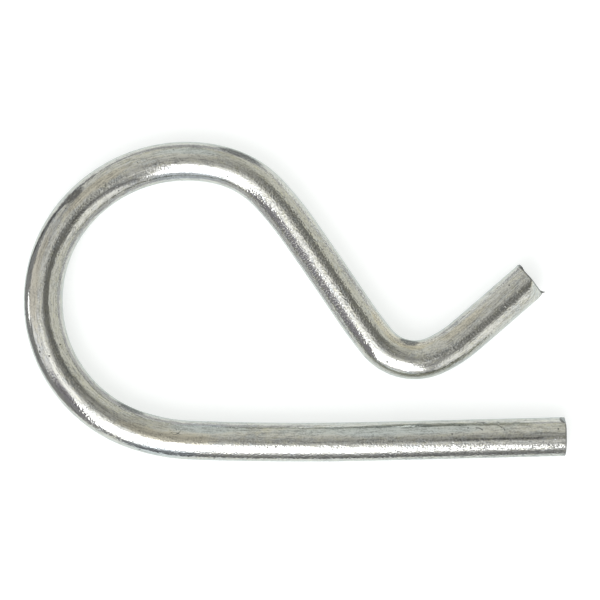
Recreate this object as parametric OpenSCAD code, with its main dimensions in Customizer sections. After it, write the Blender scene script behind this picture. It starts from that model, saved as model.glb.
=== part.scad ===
/*
 * R clip for a hitch pin.
 *
 * One length of round spring wire, bent in one plane. The straight shank goes through the cross
 * hole of the pin. The wire then runs round an open loop, drops down the leg, turns up over a
 * tight hump and ends in a short tail. The hump springs over the outside of the pin, and the
 * loop is both the spring and the finger pull.
 *
 * The wire lies flat. +X runs along the shank towards its free end, +Y goes from the shank to
 * the loop's crown, and z = 0 is the surface that the wire lies on. Radii are measured inside
 * the bends, where they are the radii of the forming pins that the wire was pulled round.
 */

/* [Wire] */
// Diameter of the wire
wire_d = 4; // [3.2:0.1:5]

/* [Shank] */
// Straight length, from the cut end to the start of the bow
shank_len = 19.5; // [12:0.5:30]
// Inside radius of the long, easy bow behind the straight length
bow_r = 308; // [200:2:500]
// Angle that the bow turns through
bow_turn = 3.5; // [1:0.5:6]

/* [Loop] */
// Inside radius of the bend that leads from the bow into the loop
entry_r = 18; // [14:0.5:30]
// Angle of the bend that leads into the loop
entry_turn = 17; // [5:1:30]
// Inside radius of the loop round its closed end
loop_r = 12; // [10:0.5:16]
// Inside radius of the loop over its crown
crown_r = 13; // [10.5:0.5:17]
// Angle of the crown
crown_turn = 58; // [40:1:80]
// Inside radius of the shoulder, where the loop turns down into the leg
shoulder_r = 8; // [5:0.5:12]
// Angle of the shoulder
shoulder_turn = 34; // [15:1:50]
// Inside radius of the easing between the shoulder and the leg
ease_r = 34; // [20:1:60]
// Angle of the easing
ease_turn = 8; // [2:1:14]

/* [Leg, hump and tail] */
// Angle at which the leg drops towards the shank
leg_drop = 57; // [50:1:64]
// Clear gap between the hump and the shank
throat = 4.25; // [3:0.25:7]
// Inside radius of the slow bend that leads from the leg into the hump
dip_r = 48; // [30:1:60]
// Angle of the slow bend into the hump
dip_turn = 5; // [2:1:8]
// Inside radius of the hump
hump_r = 3; // [2:0.25:5]
// Inside radius of the bend from the hump into the tail
rise_r = 11; // [8:0.5:16]
// Angle of the bend from the hump into the tail
rise_turn = 16; // [8:1:24]
// Angle at which the tail rises away from the shank
tail_rise = 39.5; // [30:0.5:50]
// Length of the tail, from the last bend to its cut end
tail_len = 8.95; // [6:0.05:12]
// Angle that the leg and the tail each still turn through, as neither is quite straight
set_turn = 1; // [0.5:0.5:2]

/* [Sheared ends] */
// Height that the shank's end face bulges by
face_bulge = 0.15; // [0.05:0.05:0.3]
// Length of the edge that the shear rolled over on the shank
shank_roll_len = 0.65; // [0.4:0.05:1.2]
// Depth of that edge at the shank's end face
shank_roll_depth = 0.3; // [0.2:0.05:0.4]
// Length of the edge that the shear rolled over on the tail
tail_roll_len = 1.9; // [1.5:0.1:2.4]
// Depth of that edge at the tail's end face
tail_roll_depth = 0.8; // [0.6:0.05:1]
// Height of the burr on the far side of the tail's end
burr_h = 0.15; // [0.05:0.05:0.3]
// Thickness of the burr
burr_t = 0.2; // [0.1:0.05:0.3]

/* [Forming marks] */
// Depth of the flats that the forming rollers left on the outside of the bends
flat_depth = 0.06; // [0.02:0.01:0.12]
// Depth of the dents that the forming pins left on the inside of the bends
dent_depth = 0.05; // [0.02:0.01:0.1]

/* [Hidden] */
$fn = 96;

bright_zinc = [0.74, 0.74, 0.70];
wire_r = wire_d / 2;
spare = 1;            // each end of the wire is left this much too long, and then sheared
roll_crease = 8;      // angle at which a rolled edge leaves the side of the wire
tool = 3 * wire_d;    // size of the cutting tools, well clear of the wire

// A run is [inside radius, turn] for a bend, with + to the left, or [STRAIGHT, length].
// A pose is [x, y, heading].
STRAIGHT = 0;
free_end = [0, 0, 180];

// Turns are held to a hundredth of a degree.
function bent(inside_r, turn) = [inside_r, round(turn * 100) / 100];

// A bend so slow that it is named by its chord and its turn.
function nearly_straight(chord, turn) = bent(chord / (2 * sin(abs(turn) / 2)) - wire_r, turn);

// Pose at the end of a run that starts at pose p.
function step(p, run) =
    run[0] == STRAIGHT
    ? [p.x + run[1] * cos(p.z), p.y + run[1] * sin(p.z), p.z]
    : let (r = sign(run[1]) * (run[0] + wire_r), h = p.z + run[1])
      [p.x + r * (sin(h) - sin(p.z)), p.y - r * (cos(h) - cos(p.z)), h];

// Pose after the first n runs of a list.
function pose_after(runs, n) =
    n == 0 ? free_end : step(pose_after(runs, n - 1), runs[n - 1]);

loop_turn = 180 + leg_drop - set_turn / 2
    - bow_turn - entry_turn - crown_turn - shoulder_turn - ease_turn;
LOOP_RUNS = [
    [STRAIGHT, shank_len],
    bent(bow_r, -bow_turn),
    bent(entry_r, -entry_turn),
    bent(loop_r, -loop_turn),
    bent(crown_r, -crown_turn),
    bent(shoulder_r, -shoulder_turn),
    bent(ease_r, -ease_turn)
];

// The leg is as long as brings the hump down to the throat's gap above the shank.
dip_start = leg_drop + set_turn / 2;
dip_end = dip_start - dip_turn;
dip_fall = (dip_r + wire_r) * (cos(dip_end) - cos(dip_start));
hump_fall = (hump_r + wire_r) * (1 - cos(dip_end));
leg_fall = pose_after(LOOP_RUNS, len(LOOP_RUNS)).y - wire_d - throat - dip_fall - hump_fall;
leg_len = leg_fall / sin(leg_drop);
hump_turn = dip_end + tail_rise - set_turn / 2 - rise_turn;

RUNS = concat(LOOP_RUNS, [
    nearly_straight(leg_len, -set_turn),
    bent(dip_r, dip_turn),
    bent(hump_r, hump_turn),
    bent(rise_r, rise_turn),
    nearly_straight(tail_len, set_turn)
]);

// Directions round the wire, seen along its run: 0 is left, 90 is up and 180 is right.
shank_roll_side = 163;
tail_roll_side = 144;
tail_burr_side = 0;

// Marks of the forming tools: run, share of the way along it, and direction round the wire.
LOOP = 3;
CROWN = 4;
SHOULDER = 5;
HUMP = 9;
ROLLER_FLATS = [[CROWN, 0.01, 54], [SHOULDER, 0.28, 33]];
PIN_DENTS = [[LOOP, 0.05, 180], [HUMP, 0.5, 0]];
dent_sharpness = 0.55;   // radius of a dent, as a share of the bend's inside radius

// Pose at a share of the way along run i.
function pose_on(i, share) = step(pose_after(RUNS, i), [RUNS[i][0], share * RUNS[i][1]]);

// The two points on the sides of the wire at pose p.
function sides(p) = [for (s = [-1, 1]) [p.x - s * wire_r * sin(p.z), p.y + s * wire_r * cos(p.z)]];

// Sides of the wire wherever bend i heads straight along X or Y.
function bend_reach(i) =
    let (p = pose_after(RUNS, i), last = p.z + RUNS[i][1])
    [for (h = [-90:90:270]) if (h > min(p.z, last) && h < max(p.z, last))
        each sides(step(p, [RUNS[i][0], h - p.z]))];

// The origin is under the middle of the clip's outline.
OUTLINE = concat(
    sides(free_end),
    sides(pose_after(RUNS, len(RUNS))),
    [for (i = [0:len(RUNS) - 1]) if (RUNS[i][0] != STRAIGHT) each bend_reach(i)]
);
outline_x = [for (q = OUTLINE) q.x];
outline_y = [for (q = OUTLINE) q.y];
middle = [(min(outline_x) + max(outline_x)) / 2, (min(outline_y) + max(outline_y)) / 2];

// Moves children by v in a coarse and a fine step. Each step is a number that six digits can
// hold, so that the ends of the runs still meet exactly after the model is written to a file.
module place(v) {
    coarse = [for (c = v) round(c * 100) / 100];
    translate(coarse) translate(v - coarse) children();
}

// Puts children that look along +X at pose p.
module at_pose(p) {
    translate([p.x, p.y, 0]) rotate([0, 0, p.z]) children();
}

module straight(p, length) {
    place([p.x, p.y, 0])
        rotate([0, 0, p.z]) rotate([0, 90, 0]) cylinder(d = wire_d, h = length);
}

module bend(p, inside_r, turn) {
    axis_r = inside_r + wire_r;
    centre = p.z + sign(turn) * 90;
    place([p.x + axis_r * cos(centre), p.y + axis_r * sin(centre), 0])
        rotate_extrude(angle = abs(turn), start = p.z - 90 + (turn < 0 ? 180 + turn : 0))
            place([axis_r, 0]) circle(d = wire_d);
}

// The wire from run i onwards, each run laid at the end of the one before. The first and the
// last run are made too long.
module wire_from(i) {
    p = pose_after(RUNS, i);
    radius = RUNS[i][0];
    if (i == 0) straight([p.x + spare, p.y, p.z], RUNS[0][1] + spare);
    else if (i < len(RUNS) - 1) bend(p, radius, RUNS[i][1]);
    else bend(p, radius, RUNS[i][1] * (1 + spare / tail_len));
    if (i < len(RUNS) - 1) wire_from(i + 1);
}

// The shapes below are what the tools take off a wire that runs along +X and ends at x = 0.

// All beyond an end face that bulges. The ball is turned round, so that the seam of its surface
// isn't on the face that it leaves.
module past_bulge() {
    ball_r = (pow(wire_r, 2) + pow(face_bulge, 2)) / (2 * face_bulge);
    difference() {
        translate([-wire_r / 2, -tool / 2, -tool / 2]) cube(tool);
        translate([-ball_r, 0, 0]) rotate([0, 0, 180]) sphere(r = ball_r);
    }
}

// All beyond a flat end face, but for a thin burr left standing on the side that faces +Y.
module past_burr() {
    loose = wire_r / 4;
    translate([burr_h, -tool / 2, -tool / 2]) cube(tool);
    translate([0, -burr_t - loose, 0])
        rotate([0, 90, 0]) cylinder(r = wire_r + loose, h = tool);
}

// The side that faces +Y, rolled over in an arc that leaves the wire at a crease.
module rolled_edge(length, depth) {
    chord = norm([length, depth]);
    arc_r = chord / (2 * sin(atan(depth / length) - roll_crease));
    difference() {
        translate([-length, wire_r - 2 * depth, -tool / 2]) cube(tool);
        translate([-length, wire_r, 0]) rotate([0, 0, -roll_crease]) translate([0, -arc_r, 0])
            cylinder(r = arc_r, h = 2 * tool, center = true);
    }
}

// Flat on the side that faces +Y.
module roller_flat() {
    translate([-tool / 2, wire_r - flat_depth, -tool / 2]) cube(tool);
}

// Dent across the side that faces +Y, from a pin that stands along Z.
module pin_dent(bend_r) {
    pin_r = dent_sharpness * bend_r;
    translate([0, wire_r - dent_depth + pin_r, 0]) cylinder(r = pin_r, h = tool, center = true);
}

module clip() {
    color(bright_zinc) translate([-middle.x, -middle.y, wire_r]) difference() {
        wire_from(0);

        past_bulge();
        rotate([180 - shank_roll_side, 0, 0]) rolled_edge(shank_roll_len, shank_roll_depth);

        at_pose(pose_after(RUNS, len(RUNS))) {
            rotate([tail_burr_side, 0, 0]) past_burr();
            rotate([tail_roll_side, 0, 0]) rolled_edge(tail_roll_len, tail_roll_depth);
        }

        for (m = ROLLER_FLATS)
            at_pose(pose_on(m[0], m[1])) rotate([m[2], 0, 0]) roller_flat();
        for (m = PIN_DENTS)
            at_pose(pose_on(m[0], m[1])) rotate([m[2], 0, 0]) pin_dent(RUNS[m[0]][0]);
    }
}

clip();
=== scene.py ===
# An R clip for a hitch pin, bent from one length of zinc plated spring wire.
# It lies flat on a pale floor, with the plane of the wire level, and is seen from above.

import math

import bpy
from mathutils import Matrix, Vector


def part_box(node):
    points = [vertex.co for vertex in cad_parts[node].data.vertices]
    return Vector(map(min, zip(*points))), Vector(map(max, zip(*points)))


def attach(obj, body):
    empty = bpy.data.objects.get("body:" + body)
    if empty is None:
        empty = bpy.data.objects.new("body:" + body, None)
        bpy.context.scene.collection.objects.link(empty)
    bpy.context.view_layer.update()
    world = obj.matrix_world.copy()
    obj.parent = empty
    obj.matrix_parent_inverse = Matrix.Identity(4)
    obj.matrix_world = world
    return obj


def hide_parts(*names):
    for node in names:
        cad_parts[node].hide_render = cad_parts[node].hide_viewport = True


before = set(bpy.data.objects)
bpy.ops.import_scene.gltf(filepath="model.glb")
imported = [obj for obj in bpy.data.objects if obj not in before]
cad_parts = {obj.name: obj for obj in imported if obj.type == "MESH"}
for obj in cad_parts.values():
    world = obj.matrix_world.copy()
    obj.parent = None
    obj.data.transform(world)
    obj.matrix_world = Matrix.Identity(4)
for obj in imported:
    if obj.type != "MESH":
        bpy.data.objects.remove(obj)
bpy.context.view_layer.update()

# ------------------------------------------------------------------ the bends of the wire
# The clip is one length of round spring steel wire. It is pulled round forming pins on a
# wire bender, so it is a chain of straight runs and round bends that pass smoothly into
# each other. It starts at the free end of the shank and finishes at the end of the tail.

mm = 0.001             # the sizes below are in millimetres, and Blender's are in metres
wire_r = 2.0
shank_length = 19.5
throat = 4.25          # clear gap between the hump and the shank
leg_drop = 57.0        # angle at which the leg drops towards the shank
tail_rise = 39.5       # angle at which the tail rises away from the shank
tail_length = 8.95
set_turn = 1.0         # the leg and the tail each still turn this much
hump_r = 3.0

# Each bend is its inside radius and the angle that it turns through, with + to the left.
dip = (48.0, 5.0)      # the slow bend from the leg into the hump
rise = (11.0, 16.0)    # the last bend, from the hump into the tail
loop_bends = [
    (308.0, -3.5),     # the long bow behind the shank
    (18.0, -17.0),     # into the loop
    (12.0, -116.0),    # round the closed end of the loop
    (13.0, -58.0),     # over the crown
    (8.0, -34.0),      # the shoulder
    (34.0, -8.0),      # easing into the leg
]


def straight_on(place, length):
    """The place (x, y, heading) that a straight run from this place comes to."""
    x, y, heading = place
    return x + length * math.cos(heading), y + length * math.sin(heading), heading


def round_bend(place, inside_r, turn):
    """The place (x, y, heading) that a bend from this place comes to."""
    x, y, heading = place
    r = math.copysign(inside_r + wire_r, turn)
    after = heading + math.radians(turn)
    x += r * (math.sin(after) - math.sin(heading))
    y -= r * (math.cos(after) - math.cos(heading))
    return x, y, after


def nearly_straight(chord, turn):
    """The bend (inside radius, turn) that takes a turn of a degree or so over this chord."""
    return chord / (2 * math.sin(math.radians(abs(turn)) / 2)) - wire_r, turn


start = (0.0, 0.0, math.pi)      # the free end of the shank, from which the wire heads west
place = straight_on(start, shank_length)
for bend in loop_bends:
    place = round_bend(place, *bend)

# The leg is as long as brings the hump down to the throat above the shank, and the hump turns
# from the slope of the leg to the slope of the tail.
dip_start = math.radians(leg_drop + set_turn / 2)
dip_end = dip_start - math.radians(dip[1])
dip_fall = (dip[0] + wire_r) * (math.cos(dip_end) - math.cos(dip_start))
hump_fall = (hump_r + wire_r) * (1 - math.cos(dip_end))
leg_fall = place[1] - 2 * wire_r - throat - dip_fall - hump_fall
leg_length = leg_fall / math.sin(math.radians(leg_drop))
hump_turn = math.degrees(dip_end) + tail_rise - set_turn / 2 - rise[1]

bends = loop_bends + [
    nearly_straight(leg_length, -set_turn),
    dip,
    (hump_r, hump_turn),
    rise,
    nearly_straight(tail_length, set_turn),
]

# The middle line of the wire, as points about a twelfth of a millimetre apart.
point_gap = 0.08
line = []
for step in range(int(shank_length / point_gap)):
    line.append(straight_on(start, step * point_gap))
place = straight_on(start, shank_length)
wire_length = shank_length
for inside_r, turn in bends:
    bend_length = math.radians(abs(turn)) * (inside_r + wire_r)
    steps = max(2, int(bend_length / point_gap))
    for step in range(steps):
        line.append(round_bend(place, inside_r, turn * step / steps))
    place = round_bend(place, inside_r, turn)
    wire_length += bend_length
line.append(place)

# The outline of the wire is laid in the middle of the CAD part's box.
out_x = [x + side * wire_r * math.sin(h) for x, y, h in line for side in (-1, 1)]
out_y = [y + side * wire_r * math.cos(h) for x, y, h in line for side in (-1, 1)]
low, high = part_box("clip")
shift = Vector((
    (low.x + high.x) / 2 - (min(out_x) + max(out_x)) / 2 * mm,
    (low.y + high.y) / 2 - (min(out_y) + max(out_y)) / 2 * mm,
    (low.z + high.z) / 2,
))
middle_line = bpy.data.meshes.new("middle_line")
middle_line.from_pydata(
    [Vector((x * mm, y * mm, 0)) + shift for x, y, h in line],
    [(i, i + 1) for i in range(len(line) - 1)],
    [],
)

# ------------------------------------------------------------------ the drawn and bent wire
# The wire is made straight, as it comes off the coil, with the lines that the drawing die
# left along it and the two ends that the shear shaped. It gets the flats of the bender's
# rollers and pins where its bends will be, and then it is bent round the middle line.


def feed(tree, value, socket):
    """Gives a socket a plain value, or what another node works out."""
    if isinstance(value, Sum):
        value = value.socket
    if isinstance(value, bpy.types.NodeSocket):
        tree.links.new(value, socket)
    else:
        socket.default_value = value


def add_node(tree, kind, sockets=None, **settings):
    made = tree.nodes.new(kind)
    for name, value in settings.items():
        setattr(made, name, value)
    for name, value in (sockets or {}).items():
        feed(tree, value, made.inputs[name])
    return made


class Sum:
    """A number that a node tree works out at each point, written here as plain arithmetic."""

    def __init__(self, tree, socket):
        self.tree = tree
        self.socket = socket

    def by(self, operation, *others):
        made = self.tree.nodes.new("ShaderNodeMath")
        made.operation = operation
        for place, value in enumerate((self, *others)):
            feed(self.tree, value, made.inputs[place])
        return Sum(self.tree, made.outputs[0])

    def __add__(self, other):
        return self.by("ADD", other)

    def __sub__(self, other):
        return self.by("SUBTRACT", other)

    def __mul__(self, other):
        return self.by("MULTIPLY", other)

    def __truediv__(self, other):
        return self.by("DIVIDE", other)

    def __rsub__(self, other):
        return (self * -1) + other

    __radd__ = __add__
    __rmul__ = __mul__

    def at_least(self, other):
        return self.by("MAXIMUM", other)

    def at_most(self, other):
        return self.by("MINIMUM", other)

    def rising(self, low, high):
        """0 below low and 1 above high, with a smooth step between."""
        made = add_node(self.tree, "ShaderNodeMapRange", {
            "Value": self, "From Min": low, "From Max": high,
        }, interpolation_type="SMOOTHSTEP")
        return Sum(self.tree, made.outputs[0])

    def between(self, low, low_full, high_full, high):
        """1 from low_full to high_full, fading smoothly to 0 at low and at high."""
        return self.rising(low, low_full) - self.rising(high_full, high)


def parts_of(tree, vector):
    made = add_node(tree, "ShaderNodeSeparateXYZ", {"Vector": vector})
    return [Sum(tree, socket) for socket in made.outputs]


def joined(tree, x, y, z):
    made = add_node(tree, "ShaderNodeCombineXYZ", {"X": x, "Y": y, "Z": z})
    return made.outputs[0]


def vector_sum(tree, operation, *values):
    made = tree.nodes.new("ShaderNodeVectorMath")
    made.operation = operation
    for place, value in enumerate(values):
        feed(tree, value, made.inputs[place])
    return made.outputs[0]


def noise_on(tree, vector, stretch, seed, detail=2.0, roughness=0.5):
    """Noise from -1 to 1, whose grains are stretch (x, y, z) millimetres long."""
    size = [1 / (s * mm) for s in stretch]
    scaled = vector_sum(tree, "MULTIPLY", vector, size)
    made = add_node(tree, "ShaderNodeTexNoise", {
        "Vector": scaled, "W": seed, "Scale": 1.0, "Detail": detail, "Roughness": roughness,
    }, noise_dimensions="4D")
    return Sum(tree, made.outputs[0]) * 2 - 1


def spot(a, b, low=0.0, high=1.0):
    """1 in the middle of an oval, fading out near its rim, where a * a + b * b is 1."""
    return (1 - a * a - b * b).rising(low, high)


tree = bpy.data.node_groups.new("drawn_wire", "GeometryNodeTree")
ask = tree.interface.new_socket
ask("Middle line", in_out="INPUT", socket_type="NodeSocketGeometry")
ask("Wire", in_out="OUTPUT", socket_type="NodeSocketGeometry")
# A roll is the edge that the shear drags over on one side of an end: how far it reaches along
# the wire, how deep it goes, and on which side it is (0 is left, 90 degrees up and 180 right).
sizes = {
    "Radius": wire_r * mm,
    "Length": wire_length * mm,
    "Line depth": 0.006 * mm,
    "Wave depth": 0.012 * mm,
    "Worn edge": 0.09 * mm,
    "Bulge": 0.15 * mm,
    "Tear depth": 0.02 * mm,
    "Burr height": 0.15 * mm,
    "Burr width": 0.25 * mm,
    "Shank roll length": 0.65 * mm,
    "Shank roll depth": 0.3 * mm,
    "Shank roll side": math.radians(163),
    "Tail roll length": 1.9 * mm,
    "Tail roll depth": 0.8 * mm,
    "Tail roll side": math.radians(144),
}
counts = {"Rings": 1150, "Sides": 80, "Face rings": 14}
for name in sizes:
    ask(name, in_out="INPUT", socket_type="NodeSocketFloat")
for name in counts:
    ask(name, in_out="INPUT", socket_type="NodeSocketInt")
ask("Plating", in_out="INPUT", socket_type="NodeSocketMaterial")
given = tree.nodes.new("NodeGroupInput").outputs
radius = Sum(tree, given["Radius"])
length = Sum(tree, given["Length"])

# Rings of points along the straight wire, closer together towards its ends.
rings = Sum(tree, given["Rings"])
ring_line = add_node(tree, "GeometryNodeMeshLine", {"Count": rings, "Offset": (0, 0, 0)})
share = Sum(tree, tree.nodes.new("GeometryNodeInputIndex").outputs[0]) / (rings - 1)
crowding = 0.75        # 0 spaces the rings evenly, and 1 would make them meet at the ends
along = length * (share - (share * math.tau).by("SINE") * (crowding / math.tau))
spread = add_node(tree, "GeometryNodeSetPosition", {
    "Geometry": ring_line.outputs[0], "Position": joined(tree, along, 0.0, 0.0),
})
straight_line = add_node(tree, "GeometryNodeMeshToCurve", {"Mesh": spread.outputs[0]})
ring = add_node(tree, "GeometryNodeCurvePrimitiveCircle", {
    "Resolution": given["Sides"], "Radius": radius,
})
side_wall = add_node(tree, "GeometryNodeCurveToMesh", {
    "Curve": straight_line.outputs[0], "Profile Curve": ring.outputs[0],
})

# The two end faces, as discs of rings that close the wall.
disc = add_node(tree, "GeometryNodeMeshCone", {
    "Vertices": given["Sides"], "Side Segments": given["Face rings"],
    "Radius Top": 0.0, "Radius Bottom": radius, "Depth": 0.0,
}, fill_type="NONE")
first_face = add_node(tree, "GeometryNodeTransform", {
    "Geometry": disc.outputs[0], "Rotation": (0, -math.pi / 2, 0),
})
last_face = add_node(tree, "GeometryNodeTransform", {
    "Geometry": disc.outputs[0], "Rotation": (0, math.pi / 2, 0),
    "Translation": joined(tree, length, 0.0, 0.0),
})
pieces = tree.nodes.new("GeometryNodeJoinGeometry")
for piece in (side_wall, first_face, last_face):
    tree.links.new(piece.outputs[0], pieces.inputs[0])
closed = add_node(tree, "GeometryNodeMergeByDistance", {
    "Geometry": pieces.outputs[0], "Distance": 0.001 * mm,
})

# Where each point lies on the straight wire is kept, because the plating follows it.
kept = add_node(tree, "GeometryNodeStoreNamedAttribute", {
    "Geometry": closed.outputs[0], "Name": "straight_place",
    "Value": tree.nodes.new("GeometryNodeInputPosition").outputs[0],
}, data_type="FLOAT_VECTOR", domain="POINT")
straight_place = add_node(
    tree, "GeometryNodeInputNamedAttribute", {"Name": "straight_place"}, data_type="FLOAT_VECTOR",
).outputs[0]
x, y, z = parts_of(tree, straight_place)
off_axis = (y * y + z * z).by("SQRT")
share_out = off_axis / radius
# Seen along the straight wire from the shank's free end, its left side is +Y.
round_to = z.by("ARCTAN2", y)


def rolled(from_end, reach, depth, side):
    """Share of the radius that a sheared end keeps where its edge is rolled over."""
    facing = (round_to - side).by("COSINE").at_least(0.001)
    inwards = (1 - from_end / reach).at_least(0.0)
    crease = 0.12      # share of the depth that starts as a crease, and the rest is a round curve
    fall = depth * (inwards * crease + inwards * inwards * (1 - crease))
    return ((radius - fall) / facing / radius).at_most(1.0)


end_x = length - x
shank_kept = rolled(
    x,
    Sum(tree, given["Shank roll length"]),
    Sum(tree, given["Shank roll depth"]),
    Sum(tree, given["Shank roll side"]),
)
tail_kept = rolled(
    end_x,
    Sum(tree, given["Tail roll length"]),
    Sum(tree, given["Tail roll depth"]),
    Sum(tree, given["Tail roll side"]),
)
torn_grain = noise_on(tree, straight_place, (0.32, 0.3, 0.3), 4.0)
torn_share = 0.025     # of the radius, from the middle of the torn grain to its tops
tail_kept = tail_kept + (1 - tail_kept).rising(0.0, 0.06) * torn_grain * torn_share
kept_share = shank_kept.at_most(tail_kept)

# The edges of the sheared faces are rounded a little, as the plating barrel wears them.
worn = Sum(tree, given["Worn edge"])
edge_in = (1 - x.at_most(end_x) / worn).at_least(0.0)
edge_fall = worn * (1 - (1 - edge_in * edge_in).by("SQRT"))
kept_share = kept_share * (1 - edge_fall / radius)

# The die's lines and the slow waves of the coiling, which fade at the edges of the end faces.
die_lines = noise_on(tree, straight_place, (14, 0.5, 0.5), 1.0)
slow_waves = noise_on(tree, straight_place, (5, 2.2, 2.2), 2.0)
relief = die_lines * Sum(tree, given["Line depth"]) + slow_waves * Sum(tree, given["Wave depth"])
shaped = kept_share * (relief / radius + 1)
y = y * shaped
z = z * shaped

# The rollers and pins of the bender leave small flats on the bends. Each is given by its place
# along the wire, its direction round it (0 is left, 90 up, 180 right), half its length, and
# its depth.
tool_marks = {
    "roller on the crown": (72.7, 54, 1.1, 0.05),
    "roller on the shoulder": (89.5, 33, 2.1, 0.05),
    "pin in the loop": (45.7, 158, 1.7, 0.05),
    "pin in the hump": (116.1, 28, 1.5, 0.06),
}
rubbed = x * 0
for middle, direction, half_length, depth in tool_marks.values():
    out_y = math.cos(math.radians(direction))
    out_z = math.sin(math.radians(direction))
    along_mark = (x - middle * mm) / (half_length * mm)
    falling = along_mark * along_mark
    flat = radius + (falling - 1) * (depth * mm)
    over = (y * out_y + z * out_z - flat).at_least(0.0)
    y = y - over * out_y
    z = z - over * out_z
    across_mark = (y * out_z - z * out_y) / (math.sqrt(2 * wire_r * depth) * mm)
    on_side = (y * out_y + z * out_z).rising(0.0, 0.5 * mm)
    inside = spot(along_mark, across_mark, -0.8, 0.7) * on_side
    rubbed = rubbed.at_least(inside)

# A faint track shows where the crown's roller slid along the loop before it settled. It climbs
# round the wire as it goes. The shear's rolled-over edge is rubbed as much.
track_half_width = 0.17
track_climb = math.radians(2.9) / mm
track_round = (x - 64 * mm) * track_climb + math.radians(26)
off_track = (round_to - track_round) * (wire_r / track_half_width)
track = (1 - off_track * off_track).rising(0.0, 0.8)
track = track * x.between(61.5 * mm, 65 * mm, 71.5 * mm, 72.5 * mm)
rolled_over = (1 - shank_kept).rising(0.01, 0.07) * share_out.rising(0.9, 0.97)
light_rub = 0.8
rubbed = rubbed.at_least(track * light_rub)
rubbed = rubbed.at_least(rolled_over * light_rub)

# The shank's face stands out in the middle. The tail's face is torn, with a burr along its
# left side and a pip of steel at its right-hand corner, which leans outwards.


def on_face(from_end):
    """1 on the points of an end face, before it is shaped, and 0 on the rest."""
    near = add_node(tree, "FunctionNodeCompare", {
        "A": from_end, "B": 0.0005 * mm,
    }, operation="LESS_THAN")
    return Sum(tree, near.outputs[0])


tear = noise_on(tree, straight_place, (0.5, 0.5, 0.5), 3.0, detail=5.0) * Sum(tree, given["Tear depth"])
bulge_fade = (1 - x / (1.2 * mm)).at_least(0.0)
bulge_lean = y / radius * 0.35 + 0.85
bulge = share_out * share_out * bulge_fade * bulge_lean * Sum(tree, given["Bulge"])
burr_width = Sum(tree, given["Burr width"])
burr = y.rising(radius - burr_width * 4, radius - burr_width) * Sum(tree, given["Burr height"])
pip_y = (y + 1.85 * mm) / (0.2 * mm)
pip_z = (z + 0.55 * mm) / (0.35 * mm)
pip_height = 0.36
pip_lean = 0.6
pip = spot(pip_y, pip_z) * (pip_height * mm)
x = x + bulge - on_face(x) * tear + on_face(end_x) * (burr + pip + tear)
y = y - on_face(end_x) * pip * pip_lean

# The straight wire is bent round the middle line.
bent_line = add_node(tree, "GeometryNodeMeshToCurve", {"Mesh": given["Middle line"]})
on_line = x.at_least(0.0).at_most(length)
here = add_node(tree, "GeometryNodeSampleCurve", {
    "Curves": bent_line.outputs[0], "Factor": on_line / length,
}, mode="FACTOR")
ahead = here.outputs["Tangent"]
leftwards = vector_sum(tree, "CROSS_PRODUCT", (0, 0, 1), ahead)
past_end = x - on_line
forwards_by = vector_sum(tree, "MULTIPLY", ahead, joined(tree, past_end, past_end, past_end))
left_by = vector_sum(tree, "MULTIPLY", leftwards, joined(tree, y, y, y))
lengthways = vector_sum(tree, "ADD", here.outputs["Position"], forwards_by)
crossways = vector_sum(tree, "ADD", left_by, joined(tree, 0.0, 0.0, z))
laid = add_node(tree, "GeometryNodeSetPosition", {
    "Geometry": kept.outputs[0], "Position": vector_sum(tree, "ADD", lengthways, crossways),
})
marked = add_node(tree, "GeometryNodeStoreNamedAttribute", {
    "Geometry": laid.outputs[0], "Name": "rubbed", "Value": rubbed,
}, data_type="FLOAT", domain="POINT")

# Smooth sides, with a sharp edge round each end face.
sharp_from = math.radians(38)
corner = add_node(tree, "GeometryNodeInputMeshEdgeAngle").outputs[0]
sharp = add_node(tree, "FunctionNodeCompare", {"A": corner, "B": sharp_from}, operation="GREATER_THAN")
smooth = add_node(tree, "GeometryNodeSetShadeSmooth", {
    "Geometry": marked.outputs[0], "Selection": sharp.outputs[0], "Shade Smooth": False,
}, domain="EDGE")
real = add_node(tree, "GeometryNodeRealizeInstances", {"Geometry": smooth.outputs[0]})
plated = add_node(tree, "GeometryNodeSetMaterial", {
    "Geometry": real.outputs[0], "Material": given["Plating"],
})
tree.links.new(plated.outputs[0], tree.nodes.new("NodeGroupOutput").inputs[0])

# ------------------------------------------------------------------ the zinc plate
# Bright zinc is plated straight on the drawn steel, so it is a warm grey mirror, broken by
# the grain of the wire, faint brown and blue stains, pits, scratches and the tool marks. Every
# pattern is laid on the straight wire and bends with it.

zinc = bpy.data.materials.new("zinc_plate")
zinc.use_nodes = True
plate = zinc.node_tree
shader = plate.nodes["Principled BSDF"]
edge_tint = (0.93, 0.99, 1.0, 1)
shader.inputs["Metallic"].default_value = 1.0
shader.inputs["Specular Tint"].default_value = edge_tint
on_wire = add_node(plate, "ShaderNodeAttribute", attribute_name="straight_place").outputs["Vector"]
rubs = Sum(plate, add_node(plate, "ShaderNodeAttribute", attribute_name="rubbed").outputs["Fac"])
x, y, z = parts_of(plate, on_wire)


def blend(tree, share, first, second):
    made = add_node(tree, "ShaderNodeMix", {"Factor": share}, data_type="RGBA")
    feed(tree, first, made.inputs[6])
    feed(tree, second, made.inputs[7])
    return made.outputs[2]


# The patterns in the plate, from the grain that the drawing die left to wide faint blotches.
drawn = noise_on(plate, on_wire, (4.0, 0.09, 0.09), 11.0)
drawn_short = noise_on(plate, on_wire, (0.9, 0.16, 0.16), 12.0)
grains = noise_on(plate, on_wire, (0.2, 0.13, 0.13), 13.0)
peened = noise_on(plate, on_wire, (0.9, 0.26, 0.26), 16.0, detail=0.0)
speckled = noise_on(plate, on_wire, (0.2, 0.17, 0.17), 17.0, detail=0.0)
blotches = noise_on(plate, on_wire, (2.6, 1.1, 1.1), 14.0, detail=3.0)
stains = noise_on(plate, on_wire, (0.7, 0.3, 0.3), 15.0, detail=4.0, roughness=0.6)


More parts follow.
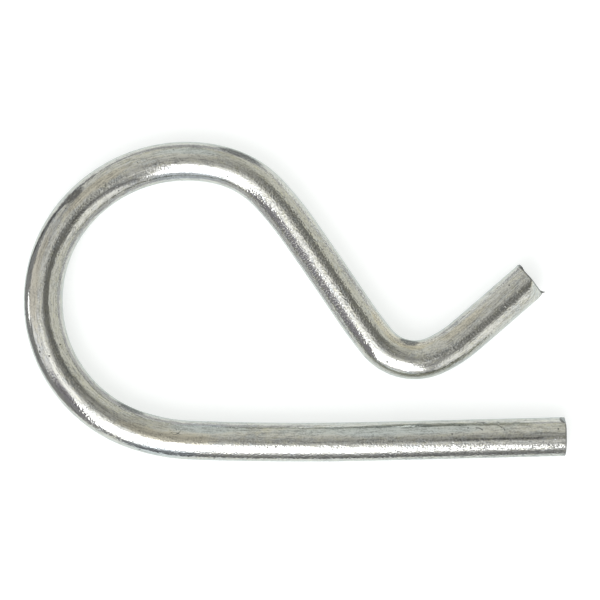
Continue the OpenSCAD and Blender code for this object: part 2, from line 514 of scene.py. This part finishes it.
def pits_in(cell, share, size, seed):
    """Pits of one size, where the plate missed a speck in a share of the cells."""
    moved = vector_sum(plate, "MULTIPLY_ADD", on_wire, (1 / (cell * mm),) * 3, (seed, seed, seed))
    cells = add_node(plate, "ShaderNodeTexVoronoi", {"Vector": moved, "Scale": 1.0})
    chance = parts_of(plate, cells.outputs["Color"])[0]
    near = Sum(plate, cells.outputs["Distance"]) * cell
    return (1 - near.rising(size * 0.5, size)) * (1 - chance.rising(share, share + 0.02))


large_pits = pits_in(0.9, 0.3, 0.13, 3.0)
small_pits = pits_in(0.45, 0.16, 0.08, 7.0)
# The plate is thin along the left side of the shank's end, and the grain breaks through it.
thin_plate = (1 - x.rising(8 * mm, 20 * mm)) * y.rising(-0.1 * mm, 0.1 * mm)
bare_grain = thin_plate * (grains + drawn_short * 0.5).rising(0.16, 0.32)
pits = large_pits.at_least(small_pits).at_least(bare_grain)

# Fine scratches, where one band of a noise is crossed, and only in a few patches.
scratch_path = noise_on(plate, on_wire, (2.2, 1.0, 1.0), 21.0, detail=1.0)
scratch_where = noise_on(plate, on_wire, (3.0, 2.0, 2.0), 22.0, detail=1.0)
scratches = (1 - scratch_path.by("ABSOLUTE").rising(0.0, 0.02)) * scratch_where.rising(0.25, 0.4)

# Three longer scratches on the shank, each from one place to another: how far along the wire
# and how far round it, both in millimetres. Each bows a little to one side.
round_mm = z.by("ARCTAN2", y) * wire_r
along_mm = x * (1 / mm)
scratch_bow = 0.35
long_scratches = (
    ((6.4, 4.05), (7.1, 5.15)),
    ((7.3, 4.75), (6.7, 4.35)),
    ((8.7, 4.15), (9.3, 4.4)),
)
for first, last in long_scratches:
    run = (last[0] - first[0], last[1] - first[1])
    from_x = along_mm - first[0]
    from_round = round_mm - first[1]
    done = (from_x * run[0] + from_round * run[1]) / (run[0] ** 2 + run[1] ** 2)
    done = done.at_least(0.0).at_most(1.0)
    off_x = from_x - done * run[0]
    off_round = from_round - done * run[1] - done * (1 - done) * scratch_bow
    off_scratch = (off_x * off_x + off_round * off_round).by("SQRT")
    scratches = scratches.at_least(1 - off_scratch.rising(0.03, 0.1))

warm = (0.60, 0.60, 0.51, 1)
cool = (0.57, 0.595, 0.575, 1)
plain = (0.585, 0.588, 0.545, 1)
tone = blend(plate, stains.rising(0.0, 0.35), plain, warm)
tone = blend(plate, (stains * -1 + blotches * 0.5).rising(0.05, 0.4), tone, cool)

# Stains that the passivating dip left, each given by its place along the wire, its direction
# round it in degrees (0 is left, 90 up, 180 right), half its length, half its width, the degrees
# that it turns by in a millimetre, how strong it is, and its colour.
blue_stain = (0.54, 0.59, 0.60, 1)
brown_stain = (0.63, 0.60, 0.49, 1)
grey_smear = (0.22, 0.22, 0.22, 1)
stain_marks = {
    "blue along the shank": (17.5, 126, 13.0, 24, 0.0, 0.8, blue_stain),
    "blue behind the shank": (37.0, 130, 5.0, 18, 0.0, 0.8, blue_stain),
    "blue by the loop": (41.5, 44, 4.5, 26, 0.0, 0.8, blue_stain),
    "brown by the loop": (41.0, 96, 6.5, 22, 0.0, 0.9, brown_stain),
    "brown in the loop": (63.5, 62, 6.0, 18, 0.0, 0.8, brown_stain),
    "brown on the crown": (74.5, 76, 5.0, 16, 0.0, 0.8, brown_stain),
    "smear on the crown": (74.8, 112, 5.2, 8, 1.8, 0.6, grey_smear),
    "blue under the shoulder": (85.0, 138, 5.0, 22, 0.0, 0.8, blue_stain),
    "blue on the shoulder": (84.5, 60, 4.0, 14, 0.0, 0.7, blue_stain),
    "brown on the hump": (115.0, 42, 7.5, 20, 0.0, 0.9, brown_stain),
    "brown on the tail": (123.5, 58, 4.0, 16, 0.0, 0.7, brown_stain),
}
for middle, direction, half_length, half_width, turning, strength, colour in stain_marks.values():
    from_middle = along_mm - middle
    off_side = round_mm * (math.degrees(1) / wire_r) - direction - from_middle * turning
    apart = from_middle * from_middle / half_length ** 2 + off_side * off_side / half_width ** 2
    share = (1 - apart + blotches * 0.7 + stains * 0.5).rising(0.0, 0.8) * strength
    tone = blend(plate, share, tone, colour)

# How dark each place is, from 0 to 1: the drawn grain, the coarse skin of the leg and the
# tail, pits and scratches.
pepper = (grains * 0.6 + drawn_short * 0.5).rising(0.28, 0.42) * 0.3
drawn_dark = drawn * 0.4 + drawn_short * 0.6 + grains * 0.5 + blotches * 0.3
dark = (drawn_dark + 0.13).at_least(0.0).at_least(pepper)
on_leg = x.between(87 * mm, 95 * mm, 110 * mm, 115 * mm)
on_tail = x.rising(116 * mm, 121 * mm)
dark = dark * (1 - on_leg * 0.5)
dark = dark.at_least(speckled * (on_leg * 0.6 + on_tail * 0.4 + 0.1))
dark = dark.at_least(pits * 0.8)
dark = dark.at_least(scratches * 0.75)

# A painted dark reflection line along the top of the shank, and a painted dark reflection along its
# left side.
across_reflection_line = y / (0.13 * mm)
painted_reflection_line = (1 - across_reflection_line * across_reflection_line).rising(0.0, 0.5) * z.rising(0.0, 1.0 * mm)
painted_reflection_line = painted_reflection_line * x.between(2.2 * mm, 2.8 * mm, 9 * mm, 18 * mm)
dark = dark.at_least(painted_reflection_line * (grains * 1.2 + 0.6))
# Painted dark reflection along the left side of the shank, broken into specks by the grain.
painted_dark_band = y.rising(1.0 * mm, 1.3 * mm) * (1 - x.rising(14 * mm, 26 * mm))
dark = dark.at_least(painted_dark_band * (grains * 1.5 + drawn_short * 0.8 + 0.3))

# The sheared faces are duller than the sides, with a painted line of shade round their rim, and the
# tool marks are rubbed dark.
near_end = x.at_most(wire_length * mm - x)
at_end = 1 - near_end.rising(0.05 * mm, 0.2 * mm)
on_rim = (y * y + z * z).by("SQRT").rising(1.75 * mm, 1.93 * mm)
dark = dark.at_least(at_end * (on_rim * 0.6 + grains + 0.25))
dark = dark.at_least(rubs * (grains * 1.2 + drawn_short * 0.6 + 0.95))

# A dark spot on the right-hand corner of the shank's end.
dark_corner_x = x / (0.8 * mm)
dark_corner_y = (y + 1.8 * mm) / (0.42 * mm)
dark_corner = spot(dark_corner_x, dark_corner_y, 0.0, 0.4) * z.rising(0.0, 0.3 * mm) * on_rim
dark = dark.at_least(dark_corner * (grains * 0.4 + 0.8))
# The darkest tone, for grain, pits, scratches and rubbed marks, and for the painted shade and dark
# reflections above.
wear_and_painted_shade = (0.07, 0.07, 0.07, 1)
tone = blend(plate, dark.at_most(0.85), tone, wear_and_painted_shade)
feed(plate, tone, shader.inputs["Base Color"])

dull = blotches * 0.03 + drawn_short * 0.03 + 0.12 + rubs * 0.12 + pits * 0.2 + at_end * 0.2
feed(plate, dull.at_least(0.08), shader.inputs["Roughness"])

# The skin is peened by the other clips in the plating barrel. It is coarser where the wire was
# worked or knocked more: the leg, the tail, the crown, and the left side as far as the loop.
on_crown = x.between(63 * mm, 68 * mm, 74 * mm, 79 * mm)
knocked_side = y.rising(0.5 * mm, 1.1 * mm) * (1 - x.rising(48 * mm, 58 * mm))
coarse = blotches.rising(-0.25, 0.3) * 0.4 + 0.1
coarse = coarse + on_leg * 0.75 + on_crown * 0.4 + knocked_side * 0.6 + on_tail * 0.3
height = (peened * 0.36 + drawn_short * 0.22) * (1 - on_leg * 0.6) + speckled * coarse
height = height - pits * 1.5 - scratches * 0.8 + rubs * peened * 0.5
skin_depth = 0.013
bump = add_node(plate, "ShaderNodeBump", {
    "Height": height, "Strength": 1.0, "Distance": skin_depth * mm,
})
feed(plate, bump.outputs[0], shader.inputs["Normal"])

# The tree is given its sizes, and what it makes becomes a plain mesh.
clip = bpy.data.objects.new("r_clip", middle_line)
bpy.context.scene.collection.objects.link(clip)
maker = clip.modifiers.new("drawn_wire", "NODES")
maker.node_group = tree
for item in tree.interface.items_tree:
    if item.in_out == "INPUT":
        for values in (sizes, counts, {"Plating": zinc}):
            if item.name in values:
                maker[item.identifier] = values[item.name]
graph = bpy.context.evaluated_depsgraph_get()
wire_mesh = bpy.data.meshes.new_from_object(clip.evaluated_get(graph), depsgraph=graph)
clip.modifiers.remove(maker)
clip.data = wire_mesh
wire_mesh.materials.clear()
wire_mesh.materials.append(zinc)

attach(clip, "root")
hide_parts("clip")

# ------------------------------------------------------------------ the floor
# A sheet of matt white paper that runs on well past the clip on every side. It shows a little
# lighter to the eye and to the plate than the light on it would make it.

floor_mesh = bpy.data.meshes.new("floor")
floor_half = 2.0
floor_corners = [(side_x * floor_half, side_y * floor_half, 0)
                 for side_x, side_y in ((-1, -1), (1, -1), (1, 1), (-1, 1))]
floor_mesh.from_pydata(floor_corners, [], [(0, 1, 2, 3)])
floor = bpy.data.objects.new("floor", floor_mesh)
bpy.context.scene.collection.objects.link(floor)
paper = bpy.data.materials.new("floor_paper")
paper.use_nodes = True
shader = paper.node_tree.nodes["Principled BSDF"]
paper_grey = (0.56, 0.56, 0.56, 1)
paper_glow = (0.97, 1, 1, 1)
glow_strength = 0.6
shader.inputs["Base Color"].default_value = paper_grey
shader.inputs["Roughness"].default_value = 1.0
shader.inputs["Specular IOR Level"].default_value = 0.0
shader.inputs["Emission Color"].default_value = paper_glow
path = paper.node_tree.nodes.new("ShaderNodeLightPath")
seen = Sum(paper.node_tree, path.outputs["Is Camera Ray"])
seen = seen.at_least(Sum(paper.node_tree, path.outputs["Is Glossy Ray"]))
seen = seen.at_least(Sum(paper.node_tree, path.outputs["Is Transmission Ray"]))
feed(paper.node_tree, seen * glow_strength, shader.inputs["Emission Strength"])
floor_mesh.materials.append(paper)

# ------------------------------------------------------------------ the flags
# Grey cards lie on the floor round the clip and inside its bends, and two low lips stand up
# from it, with one white strip, so that the bright plate has something to reflect near the
# floor. Only reflections see them.

card_colour = (0.98, 0.98, 1.02, 1)


def card(name, corners, strength):
    mesh = bpy.data.meshes.new(name)
    mesh.from_pydata([Vector(corner) * mm for corner in corners], [], [(0, 1, 2, 3)])
    made = bpy.data.objects.new(name, mesh)
    bpy.context.scene.collection.objects.link(made)
    made.visible_camera = False
    made.visible_diffuse = False
    made.visible_shadow = False
    finish = bpy.data.materials.new(name)
    finish.use_nodes = True
    coat = finish.node_tree
    glow = add_node(coat, "ShaderNodeEmission", {"Strength": strength, "Color": card_colour})
    feed(coat, glow.outputs[0], coat.nodes["Material Output"].inputs["Surface"])
    mesh.materials.append(finish)


def laid_card(name, outline, strength):
    card(name, [(x, y, card_level) for x, y in outline], strength)


def oblong(x_from, y_from, x_to, y_to):
    return [(x_from, y_from), (x_to, y_from), (x_to, y_to), (x_from, y_to)]


card_level = 0.1       # the cards that lie down are this much above the floor
far = 200
west = -30.3
south = -31.4
laid_card("west_flag", oblong(-far, -far, west, 60), 0.30)
laid_card("south_west_flag", [(west, -3), (west, -22), (-24.5, -22), (-27.6, -13)], 0.5)
laid_card("south_flag", oblong(-24, -far, 40, -23), 0.2)
laid_card("north_flag", oblong(-40, 23, 60, far), 0.62)
laid_card("east_flag", oblong(13, 7, 60, 23), 0.62)
laid_card("valley_flag", [(13, 0), (14, 1.5), (13, 6.9), (7, 9)], 0.7)
laid_card("inner_flag", [(-18, -7), (4, -7), (-5, 8), (-18, 8)], 0.7)
card("west_lip", [(west, y, z) for y, z in oblong(south, 0, 30, 4.1)], 0.36)
card("south_lip", [(x, south, z) for x, z in oblong(west, 0, 34, 5.6)], 0.36)

# The white strip stands opposite the closed end of the loop.
loop_end_y = min(line)[1] + shift.y / mm
strip_outline = [(-2.9, 3.15), (-1.6, 3.0), (2.2, 3.45), (-1.6, 3.75)]
card("west_strip", [(west + 0.2, loop_end_y + y, z) for y, z in strip_outline], 3.0)

# ------------------------------------------------------------------ the light
# A plain pale room, with one large softbox in the south and the dark shape of the camera and
# its arm overhead. The room's colour goes by direction: east and north are how many degrees a
# direction leans from straight up.

room = bpy.data.worlds.new("studio")
bpy.context.scene.world = room
room.use_nodes = True
sky = room.node_tree
way = add_node(sky, "ShaderNodeTexCoord").outputs["Generated"]
way_x, way_y, way_z = parts_of(sky, way)
level = (way_x * way_x + way_y * way_y).by("SQRT").at_least(0.0001)
from_zenith = way_z.by("ARCCOSINE") * (180 / math.pi)
east = from_zenith * way_x / level
north = from_zenith * way_y / level


def patch(east_at, north_at, east_r, north_r):
    return spot((east - east_at) / east_r, (north - north_at) / north_r)


# The body of the camera and what holds it. Its west edge leans, and is softer to the north.
edge_lean = (north - 8).at_least(0.0) * 0.33 - north.rising(-8, 6) * 2.2
edge_lean = edge_lean + (-6 - north).at_least(0.0).at_most(14.0) * 0.9
edge_soft = north.at_least(0.0).at_most(15.0) * 0.8
overhead = (east - edge_lean).rising(edge_soft * -1 - 9, edge_soft + 11) - east.rising(32, 42)
overhead = overhead * north.between(-38, -21, 18, 50)
arm_south = east.between(13, 18, 22, 27) * north.between(-90, -50, -40, -25)
arm_south = arm_south.at_least(patch(15, -37, 17, 15))
arm_north = east.between(2, 14, 24, 34) * north.between(20, 40, 75, 110)

# The south-west of the room is in shade, on the side that the leg faces over the shank.
leg_faces = math.radians(-147)
towards_shade = east * math.cos(leg_faces) + north * math.sin(leg_faces)
across_shade = north * math.cos(leg_faces) - east * math.sin(leg_faces)
shade = towards_shade.rising(42, 52) * across_shade.between(-8, -2, 24, 34)
room_light = 0.86
light = room_light * (1 - overhead * 0.72) * (1 - shade * 0.62)
light = light * (1 - arm_south * 0.45) * (1 - arm_north * 0.2)

# Lighter and darker places on the walls and the ceiling, each given by its middle, its half
# size and how much lighter it is, and one long light place low in the west.
for east_at, north_at, east_r, north_r, lighter in (
    (38, -48, 26, 32, 0.5),
    (37, -24, 8, 13, -0.35),
    (12, 13, 9, 10, 0.3),
    (26, -28, 6, 8, 0.3),
    (-22, -14, 20, 14, 0.9),
    (-40, 26, 34, 26, -0.27),
):
    light = light * (1 + patch(east_at, north_at, east_r, north_r) * lighter)
low_west = east.between(-95, -75, -45, -30) * north.between(-34, -26, -12, 0)
light = light * (1 + low_west * 0.35)
backing = sky.nodes["Background"]
feed(sky, light, backing.inputs["Strength"])
bluish = (1.0, 0.995, 1.03, 1)
yellowish = (1.0, 0.995, 0.92, 1)
violet_shade = (0.97, 0.93, 1.05, 1)
room_colour = blend(sky, ((east + north) / 100).rising(-1.0, 1.0), bluish, yellowish)
room_colour = blend(sky, shade, room_colour, violet_shade)
feed(sky, room_colour, backing.inputs["Color"])


def towards(tilt, azimuth):
    """The direction that leans tilt degrees from straight up, azimuth degrees round from east."""
    tilt = math.radians(tilt)
    azimuth = math.radians(azimuth)
    level_part = math.sin(tilt)
    return Vector((level_part * math.cos(azimuth), level_part * math.sin(azimuth), math.cos(tilt)))


# The softbox is a tapered sheet of silk, which the plate reflects, and a lamp that lights the
# floor as the sheet would.
box_distance = 800
box_way = towards(51.2, -111.9)
silk_ways = [towards(41.5, -142), towards(18.5, -95), towards(67.5, -79.5), towards(79.5, -128.5)]
silk_corners = [way * (box_distance / way.dot(box_way)) for way in silk_ways]
card("silk", silk_corners, 3.0)
box_width = 0.814 * box_distance * mm
box_height = 1.172 * box_distance * mm
box_twist = math.radians(16.5)
box_brightness = 2.2
softbox = bpy.data.lights.new("softbox", "AREA")
softbox.shape = "RECTANGLE"
softbox.size = box_width
softbox.size_y = box_height
softbox.energy = box_brightness * math.pi * box_width * box_height
lamp = bpy.data.objects.new("softbox", softbox)
bpy.context.scene.collection.objects.link(lamp)
lamp.visible_glossy = False
box_place = Matrix.Translation(box_way * box_distance * mm)
box_turn = box_way.to_track_quat("Z", "Y").to_matrix().to_4x4()
lamp.matrix_world = box_place @ box_turn @ Matrix.Rotation(box_twist, 4, "Z")

# ------------------------------------------------------------------ the camera
# It looks straight down from a hand's reach above the clip.

camera_data = bpy.data.cameras.new("camera")
camera = bpy.data.objects.new("camera", camera_data)
bpy.context.scene.collection.objects.link(camera)
view_width = 61.54     # what the picture takes in, at the level of the middle of the wire
camera_height = 320    # above that level
camera_x = 0.68
camera_y = 0.07
camera_turn = math.radians(-1.43)
sensor_width = 36
camera_data.sensor_width = sensor_width
camera_data.lens = sensor_width * camera_height / view_width
camera.location = Vector((camera_x, camera_y, wire_r + camera_height)) * mm
camera.rotation_euler = (0, 0, camera_turn)
bpy.context.scene.camera = camera
bpy.context.scene.view_settings.view_transform = "Standard"
